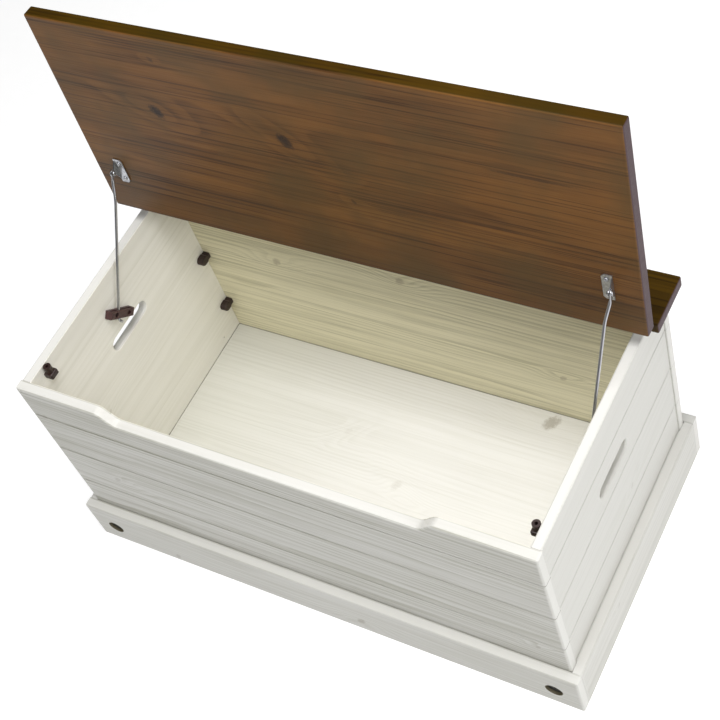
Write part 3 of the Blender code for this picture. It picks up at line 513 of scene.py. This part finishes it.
def rod_grid(side, pivot, down, sizes):
    """Grid of a stay rod: a superellipse section carried along the rod.

    At distance s from the pivot the section has half width w(s) across and half thickness t(s)
    in X: a flat disc w = sqrt(R^2 - s^2) at the eye that swells into a round wire, w = t = r.
    The line steps inward in X below the eye and turns through a quarter circle at the hook.
    """
    eye, thin, wire = sizes["eye"], sizes["thin"], sizes["wire"]
    low, high = sizes["eye_x"], sizes["rod_x"]
    length, hook = sizes["length"], sizes["hook"]
    head = -eye * np.cos(np.linspace(0, math.pi * 0.62, 22))
    neck = np.linspace(head[-1] + 0.0008, 0.020, 16)
    stem = np.linspace(0.0215, length - wire * 2, 44)
    s = np.concatenate([head, neck, stem])
    x = wire_section(low, high, (s - 0.007) / 0.042)
    disc = np.sqrt(np.maximum(eye ** 2 - s ** 2, 0))
    narrow = wire_section(0.0031, wire, (s - 0.004) / 0.010)
    wide = np.where(s < 0.0046, np.maximum(disc, np.where(s > 0, narrow, 0)), narrow)
    wide[0] = 0
    thick = wire_section(thin, wire, (s - 0.0075) / 0.007)
    turn = np.linspace(0, math.pi / 2, 9)[1:]
    bend_s = length - wire * 2 + wire * 2 * np.sin(turn)
    bend_x = high - wire * 2 * (1 - np.cos(turn))
    out_x = np.linspace(bend_x[-1] - 0.0006, high - hook, 5)
    s = np.concatenate([s, bend_s, np.full(5, length)])
    x = np.concatenate([x, bend_x, out_x])
    extra = len(s) - len(wide)
    wide = np.concatenate([wide, np.full(extra, wire)])
    thick = np.concatenate([thick, np.full(extra, wire)])
    lean = np.concatenate([np.zeros(len(head) + len(neck) + len(stem)), turn,
                           np.full(5, math.pi / 2)])
    s = np.append(s, s[-1])
    x = np.append(x, x[-1] - 0.0001)
    wide, thick, lean = (np.append(v, e) for v, e in ((wide, 0), (thick, 0), (lean, math.pi / 2)))
    around = np.linspace(0, 2 * math.pi, 28, endpoint=False)[None, :]
    power = wire_section(0.55, 1.0, (s - 0.006) / 0.010)[:, None]
    cos, sin = np.cos(around), np.sin(around)
    across = wide[:, None] * cos
    proud = thick[:, None] * np.sign(sin) * np.abs(sin) ** power
    px = side * (x[:, None] + proud * np.cos(lean)[:, None])
    ps = s[:, None] + proud * np.sin(lean)[:, None]
    side_way = np.array((0.0, -down[2], down[1]))
    points = np.zeros((*px.shape, 3))
    points[..., 0] = px
    return points + (np.array((0.0, *pivot)) + ps[..., None] * down
                     + across[..., None] * side_way)


# ------------------------------------------------------------------ settings
class BenchFinish(PropertyGroup):
    """Colours of the bench's finishes."""

    paint: FloatVectorProperty(
        name="Paint", description="White paint where it is thick", subtype="COLOR",
        default=(0.93, 0.92, 0.885), min=0, max=1)
    paint_shade: FloatVectorProperty(
        name="Paint over grain", description="Where the wood shows through", subtype="COLOR",
        default=(0.62, 0.61, 0.53), min=0, max=1)
    # painted shade: darker tint over the outer faces, standing for the shade they sit in
    paint_outside_shade: FloatVectorProperty(
        name="Paint, shaded", description="Tint of the paint on the outer faces",
        subtype="COLOR", default=(0.75, 0.75, 0.735), min=0, max=1)
    # yellowing of the inner paint together with painted warm bounce light from the brown lid
    paint_inside_bounce: FloatVectorProperty(
        name="Paint, yellowed", description="Tint of the paint inside the box", subtype="COLOR",
        default=(0.98, 0.93, 0.70), min=0, max=1)
    # painted shade over the left end of the floor
    paint_floor_shade: FloatVectorProperty(
        name="Paint, shadowed", description="Tint of the floor's worn left end", subtype="COLOR",
        default=(0.70, 0.70, 0.66), min=0, max=1)
    knot: FloatVectorProperty(
        name="Painted knot", description="Knots under the paint", subtype="COLOR",
        default=(0.36, 0.32, 0.25), min=0, max=1)
    # painted shade in the board joints and round the floor; bare wood with painted shade in the
    # bores
    crevice_shade: FloatVectorProperty(
        name="Joints and bores", description="Shade in the joints, bare wood in the bores",
        subtype="COLOR", default=(0.16, 0.14, 0.09), min=0, max=1)
    stain_light: FloatVectorProperty(
        name="Stain, early wood", description="Lightest tone of the stained pine",
        subtype="COLOR", default=(0.235, 0.099, 0.019), min=0, max=1)
    stain_dark: FloatVectorProperty(
        name="Stain, late wood", description="Darkest tone of the stained pine",
        subtype="COLOR", default=(0.050, 0.019, 0.004), min=0, max=1)
    stain_outside: FloatVectorProperty(
        name="Stain, outer coats", description="Tint of the extra coats on top and edges",
        subtype="COLOR", default=(0.37, 0.45, 0.12), min=0, max=1)
    # end grain's darker stain with a painted purplish sheen
    stain_end_sheen: FloatVectorProperty(
        name="Stain, end grain", description="Sawn ends of the lid and strip",
        subtype="COLOR", default=(0.085, 0.052, 0.058), min=0, max=1)
    stain_blotch: FloatVectorProperty(
        name="Stain blotches", description="Where the stain took deeper", subtype="COLOR",
        default=(0.092, 0.052, 0.014), min=0, max=1)
    zinc: FloatVectorProperty(
        name="Zinc", description="Bright plated steel", subtype="COLOR",
        default=(0.55, 0.56, 0.59), min=0, max=1)
    dark_metal: FloatVectorProperty(
        name="Dark steel", description="Plinth and connector bolts", subtype="COLOR",
        default=(0.035, 0.035, 0.032), min=0, max=1)
    plastic: FloatVectorProperty(
        name="Fittings", description="Corner connectors and top-fixing blocks",
        subtype="COLOR", default=(0.024, 0.010, 0.008), min=0, max=1)
    guide: FloatVectorProperty(
        name="Stay guides", description="Guide blocks of the lid stays", subtype="COLOR",
        default=(0.052, 0.020, 0.020), min=0, max=1)


class BenchStage(PropertyGroup):
    """Light and backdrop."""

    overhead: FloatProperty(name="Overhead light", description="Power of the soft box above",
                            default=108.0, min=0, subtype="POWER")
    right: FloatProperty(name="Right light", description="Power of the soft box at the right",
                         default=27.0, min=0, subtype="POWER")
    sky: FloatProperty(name="Room light", description="Strength of the even light all round",
                       default=0.03, min=0)
    backdrop: FloatProperty(name="Backdrop glow", description="Lifts the floor to a clean pale",
                            default=0.66, min=0)


# ------------------------------------------------------------------ operators
class BENCH_OT_painted_boards(Operator):
    """Paint the box, its floor and the plinth"""

    bl_idname = "bench.painted_boards"
    bl_label = "Painted boards"

    def execute(self, context):
        look = context.scene.bench_finish
        pitch, first = PANEL_PITCH, PANEL_FIRST
        upright, sideways, level = (0, 2, 1), (1, 2, 0), (0, 1, 2)
        plans = {
            "front_panel": (upright, pitch, first, 1.0,
                            ((-0.410, 0.353, 0.008, 0.1, 0.3), (-0.335, 0.207, 0.010, -0.2, 0.25),
                             (0.388, 0.140, 0.007, 0.3, 0.3)), 2.3, 0.3, 0.9),
            "back_panel": (upright, pitch, first, 2.0,
                           ((-0.255, 0.271, 0.013, 0.1, 0.5), (-0.012, 0.305, 0.013, -0.1, 0.5),
                            (0.245, 0.150, 0.010, 0.1, 0.45)), 2.4, 0.92, 0.4),
            "left_side_panel": (sideways, pitch, first, 3.0,
                                ((-0.120, 0.215, 0.006, 0.5, 0.25),), 0.6, 0.15, 0.2),
            "right_side_panel": (sideways, pitch, first, 4.0,
                                 ((0.040, 0.190, 0.007, 0.4, 0.2),), 0.4, 0.2, 0.3),
            "bottom_panel": (level, 0.118, -0.030, 5.0,
                             ((0.217, 0.186, 0.020, 0.1, 0.60), (-0.105, 0.062, 0.010, 0.8, 0.12),
                              (0.022, -0.006, 0.013, -0.5, 0.20)), 0.65, 0.0, 0.0),
            "left_floor_batten": (sideways, 0.20, -0.05, 6.0, (), 1.0, 0.0, 0.0),
            "right_floor_batten": (sideways, 0.20, -0.05, 7.0, (), 1.0, 0.0, 0.0),
            "plinth_front": (upright, 0.20, -0.05, 8.0,
                             ((0.075, 0.028, 0.012, 0.1, 0.5), (-0.285, 0.012, 0.010, 0.1, 0.3)),
                             1.2, 0.0, 0.0),
            "plinth_back": (upright, 0.20, -0.05, 9.0, ((0.100, 0.050, 0.008, 0.2, 0.3),),
                            1.1, 0.0, 0.0),
            "plinth_left": (sideways, 0.20, -0.05, 10.0, ((0.060, 0.045, 0.007, 0.1, 0.3),),
                            1.0, 0.0, 0.0),
            "plinth_right": (sideways, 0.20, -0.05, 11.0, ((-0.090, 0.060, 0.006, 0.1, 0.2),),
                             0.8, 0.0, 0.0),
        }
        for node, plan in plans.items():
            finish_node(node, painted(node, *plan, look))
        return {"FINISHED"}


class BENCH_OT_stained_boards(Operator):
    """Stain the lid and the fixed strip behind it"""

    bl_idname = "bench.stained_boards"
    bl_label = "Stained boards"

    def execute(self, context):
        look = context.scene.bench_finish
        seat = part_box("rear_top_strip")[0][2]
        hinge_edge = HINGE[1] - KNUCKLE_GAP
        across = [hinge_edge - u for u in (0.242, 0.237, 0.142, 0.346)]
        knots = ((-0.273, across[0], 0.017, 0.3, 0.85), (-0.057, across[1], 0.018, 0.5, 0.8),
                 (0.028, across[2], 0.006, 0.3, 0.45), (-0.243, across[3], 0.007, 0.1, 0.4))
        marks = ((0.315, hinge_edge - 0.267, 0.055, 0.0028, 0.55),)
        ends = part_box("lid_panel")[1][0]
        finish_node("lid_panel", stained("stained_lid", (0, 1, 2), 0.097, hinge_edge, 12.0,
                                         knots, marks, True, seat + 0.0004, ends, look))
        finish_node("rear_top_strip", stained("stained_strip", (0, 1, 2), 0.20, 0.08, 13.0,
                                              (), (), False, 0.0, ends, look))
        return {"FINISHED"}


class BENCH_OT_moulded_fittings(Operator):
    """Corner connectors, top-fixing blocks and stay guides"""

    bl_idname = "bench.moulded_fittings"
    bl_label = "Moulded fittings"

    def execute(self, context):
        look = context.scene.bench_finish
        dark = moulded("dark_moulding", look.plastic)
        guide = moulded("guide_moulding", look.guide)
        for word, _ in SIDES:
            finish_node(word + "_stay_guide", guide)
            for end in ENDS:
                finish_node("top_fixing_%s_%s" % (end, word), dark)
                for level in ("lower", "upper"):
                    finish_node("corner_connector_%s_%s_%s" % (end, word, level), dark)
        return {"FINISHED"}


class BENCH_OT_hinges(Operator):
    """Hinge leaves, pins and the small screws of the leaves"""

    bl_idname = "bench.hinges"
    bl_label = "Hinges"

    def execute(self, context):
        steel = zinc("hinge_zinc", context.scene.bench_finish)
        open_turn = Matrix.Rotation(-LID_OPEN, 3, "X")
        for word, _ in SIDES:
            low, high = (np.array(p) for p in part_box(word + "_hinge_fixed_leaf"))
            middle = (low[0] + high[0]) / 2
            finish_node(word + "_hinge_fixed_leaf", steel)
            finish_node(word + "_hinge_lid_leaf", steel)
            pin_low, pin_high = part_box(word + "_hinge_pin")
            half = (pin_high[0] - pin_low[0]) / 2
            head = [(0.0, 0.0), (0.0, 0.0014), (0.0004, 0.0024), (0.0011, PIN_HEAD),
                    (0.0012, PIN_SHANK)]
            profile = ([(h - half, r) for h, r in head]
                       + [(half - h, r) for h, r in reversed(head)])
            surface(word + "_hinge_pin_turned",
                    turned((middle, HINGE[1], HINGE[2]), (1, 0, 0), profile, 32),
                    steel, "box", [word + "_hinge_pin"])
            face = high[1] - LEAF_THICK
            drop = low[2] + 0.008 - HINGE[2]
            for number, step in enumerate((-1, 0, 1), 1):
                profile = screw_profile(*LEAF_SCREW, LEAF_SCREW_LENGTH)
                carve = cross_recess(LEAF_SCREW[1], 0.0017, 0.0005, 0.0006)
                along = middle + step * LEAF_SCREW_PITCH
                spot = (along, face, HINGE[2] + drop)
                surface("%s_leaf_screw_%d" % (word, number),
                        turned(spot, (0, -1, 0), profile, 40, carve),
                        steel, "box", [])
                flat = Vector((0.0, -(face - HINGE[1]), drop))
                moved = open_turn @ flat
                way = open_turn @ Vector((0, 1, 0))
                spot = (along, HINGE[1] + moved.y, HINGE[2] + moved.z)
                surface("%s_lid_leaf_screw_%d" % (word, number),
                        turned(spot, tuple(way), profile, 40, carve),
                        steel, "lid", [])
        return {"FINISHED"}


class BENCH_OT_stays(Operator):
    """Lid stays: brackets, rivets and the bent rods"""

    bl_idname = "bench.stays"
    bl_label = "Lid stays"

    def execute(self, context):
        look = context.scene.bench_finish
        plate = zinc("plate_zinc", look)
        drawn = zinc("drawn_zinc", look, even=0.3)
        for word, side in SIDES:
            finish_node(word + "_lid_bracket", plate)
            pivot = JOINTS[word + "_rod_pivot"]["pos_m"]
            low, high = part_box(word + "_stay_rivet")
            half = (high[0] - low[0]) / 2
            middle = (low[0] + high[0]) / 2
            rise = [(0.0, 0.0), (0.0, 0.35), (0.12, 0.62), (0.35, 0.86), (0.7, 0.98), (1.0, 1.0)]
            cap = [(-half + RIVET_RISE * h, RIVET_HEAD * r) for h, r in rise]
            other = [(half - RIVET_RISE * h, RIVET_HEAD * r) for h, r in reversed(rise)]
            neck = [(sign * (half - RIVET_RISE), RIVET_SHANK) for sign in (-1, 1)]
            profile = cap + neck + other
            surface(word + "_stay_rivet_turned",
                    turned((middle, pivot[1], pivot[2]), (1, 0, 0), profile, 32),
                    plate, "lid", [word + "_stay_rivet"])
            angle = math.radians(ROD_LEAN)
            down = np.array((0.0, -math.sin(angle), -math.cos(angle)))
            sizes = {**ROD_SIZES, "eye_x": abs(pivot[0])}
            surface(word + "_stay_rod_drawn", rod_grid(side, pivot[1:], down, sizes), drawn,
                    word + "_rod", [word + "_stay_rod"])
        return {"FINISHED"}


class BENCH_OT_screws(Operator):
    """Screws of the stay brackets, guides and strip, with cross recesses"""

    bl_idname = "bench.screws"
    bl_label = "Screws"

    def execute(self, context):
        steel = zinc("screw_zinc", context.scene.bench_finish)
        lid_out = Matrix.Rotation(-LID_OPEN, 3, "X") @ Vector((0, 0, -1))
        jobs = []
        for word, side in SIDES:
            for number in (1, 2):
                jobs.append(("%s_bracket_screw_%d" % (word, number), tuple(lid_out), "lid",
                             *SMALL_SCREW))
                jobs.append(("%s_guide_screw_%d" % (word, number), (-side, 0, 0), "box",
                             *SMALL_SCREW))
            jobs.append(("strip_screw_" + word, (0, 0, -1), "box", *STRIP_SCREW))
        for node, out, body, head, height, shank in jobs:
            mesh = frame["nodes"][node].data
            count = len(mesh.vertices)
            flat = np.empty(count * 3)
            mesh.vertices.foreach_get("co", flat)
            points = flat.reshape(-1, 3)
            way = np.array(out)
            depth = points @ way
            top, tip = depth.max(), depth.min()
            # the screw is straight, so its box's middle lies on its axis
            middle = (points.max(axis=0) + points.min(axis=0)) / 2
            seat = middle + way * (top - height - middle @ way)
            length = top - height - tip
            profile = screw_profile(head, height, shank, length)
            carve = cross_recess(height, head * 0.72, head * 0.17, height * 0.55)
            surface(node + "_turned", turned(seat, way, profile, 48, carve), steel, body,
                    [node])
        return {"FINISHED"}


class BENCH_OT_bolts(Operator):
    """Plinth bolts in their counterbores and the connectors' bolts"""

    bl_idname = "bench.bolts"
    bl_label = "Bolts"

    def execute(self, context):
        steel = zinc("bolt_steel", context.scene.bench_finish, dark=True)
        for word, _ in SIDES:
            finish_node("plinth_bolt_" + word, steel)
            for end in ENDS:
                for level in ("lower", "upper"):
                    finish_node("corner_bolt_%s_%s_%s" % (end, word, level), steel)
        return {"FINISHED"}


class BENCH_OT_studio(Operator):
    """Pale floor, soft light and the camera"""

    bl_idname = "bench.studio"
    bl_label = "Studio"

    def execute(self, context):
        stage = context.scene.bench_stage
        scene = context.scene
        scene.view_settings.view_transform = "Standard"
        web = Web("backdrop_paper")
        speck = web.noise(web.place, 35.0, 3.0)
        web.set(Base_Color=web.blend(web.remap(speck, 0.3, 0.7), (0.50, 0.50, 0.50),
                                     (0.515, 0.515, 0.515)), Roughness=0.9,
                Specular_IOR_Level=0.1, Emission_Color=(1, 1, 1, 1),
                Emission_Strength=stage.backdrop)
        reach = FLOOR_REACH
        mesh = bpy.data.meshes.new("studio_floor")
        mesh.from_pydata([(-reach, -reach, 0), (reach, -reach, 0), (reach, reach, 0),
                          (-reach, reach, 0)], [], [(0, 1, 2, 3)])
        mesh.materials.append(web.material)
        ground = bpy.data.objects.new("studio_floor", mesh)
        ground.location.z = CAD_LOW[2] - FLOOR_GAP
        scene.collection.objects.link(ground)

        world = bpy.data.worlds.new("studio_room")
        scene.world = world
        world.use_nodes = True
        glow = world.node_tree.nodes["Background"]
        glow.inputs["Color"].default_value = (1.0, 1.0, 1.0, 1.0)
        glow.inputs["Strength"].default_value = stage.sky

        soft_boxes = (("overhead", (0.25, -0.35, 3.2), (0.0, 0.0, 0.2), 2.2, stage.overhead),
                      ("right", (2.6, -0.45, 1.35), (0.0, 0.0, 0.3), 1.3, stage.right))
        for name, place, aim, size, power in soft_boxes:
            lamp = bpy.data.lights.new(name + "_soft_box", "AREA")
            lamp.shape = "SQUARE"
            lamp.size = size
            lamp.energy = power
            box = bpy.data.objects.new(name + "_soft_box", lamp)
            box.location = place
            box.rotation_euler = (Vector(aim) - Vector(place)).to_track_quat("-Z", "Y").to_euler()
            scene.collection.objects.link(box)

        view = bpy.data.cameras.new("bench_view")
        view.lens = LENS
        view.sensor_width = SENSOR
        view.clip_end = 50.0
        camera = bpy.data.objects.new("bench_view", view)
        camera.location = CAMERA_PLACE
        camera.rotation_euler = tuple(math.radians(v) for v in CAMERA_TURN)
        scene.collection.objects.link(camera)
        scene.camera = camera
        return {"FINISHED"}


STEPS = (BENCH_OT_studio, BENCH_OT_painted_boards, BENCH_OT_stained_boards,
         BENCH_OT_moulded_fittings, BENCH_OT_hinges, BENCH_OT_stays, BENCH_OT_screws,
         BENCH_OT_bolts)


class BENCH_PT_panel(Panel):
    """Everything that dresses the bench"""

    bl_idname = "BENCH_PT_panel"
    bl_label = "Storage bench"
    bl_space_type = "VIEW_3D"
    bl_region_type = "UI"
    bl_category = "Bench"

    def draw(self, context):
        column = self.layout.column(align=True)
        for step in STEPS:
            column.operator(step.bl_idname)
        for group in (context.scene.bench_finish, context.scene.bench_stage):
            for key in group.__annotations__:
                self.layout.prop(group, key)


CLASSES = (BenchFinish, BenchStage, *STEPS, BENCH_PT_panel)


def register():
    """Add the classes and the scene's settings."""
    for item in CLASSES:
        bpy.utils.register_class(item)
    bpy.types.Scene.bench_finish = PointerProperty(type=BenchFinish)
    bpy.types.Scene.bench_stage = PointerProperty(type=BenchStage)


def unregister():
    """Take them away again."""
    del bpy.types.Scene.bench_stage
    del bpy.types.Scene.bench_finish
    for item in reversed(CLASSES):
        bpy.utils.unregister_class(item)


def main():
    """Dress the bench."""
    register()
    for step in STEPS:
        group, name = step.bl_idname.split(".")
        getattr(getattr(bpy.ops, group), name)()


if __name__ == "__main__":
    main()
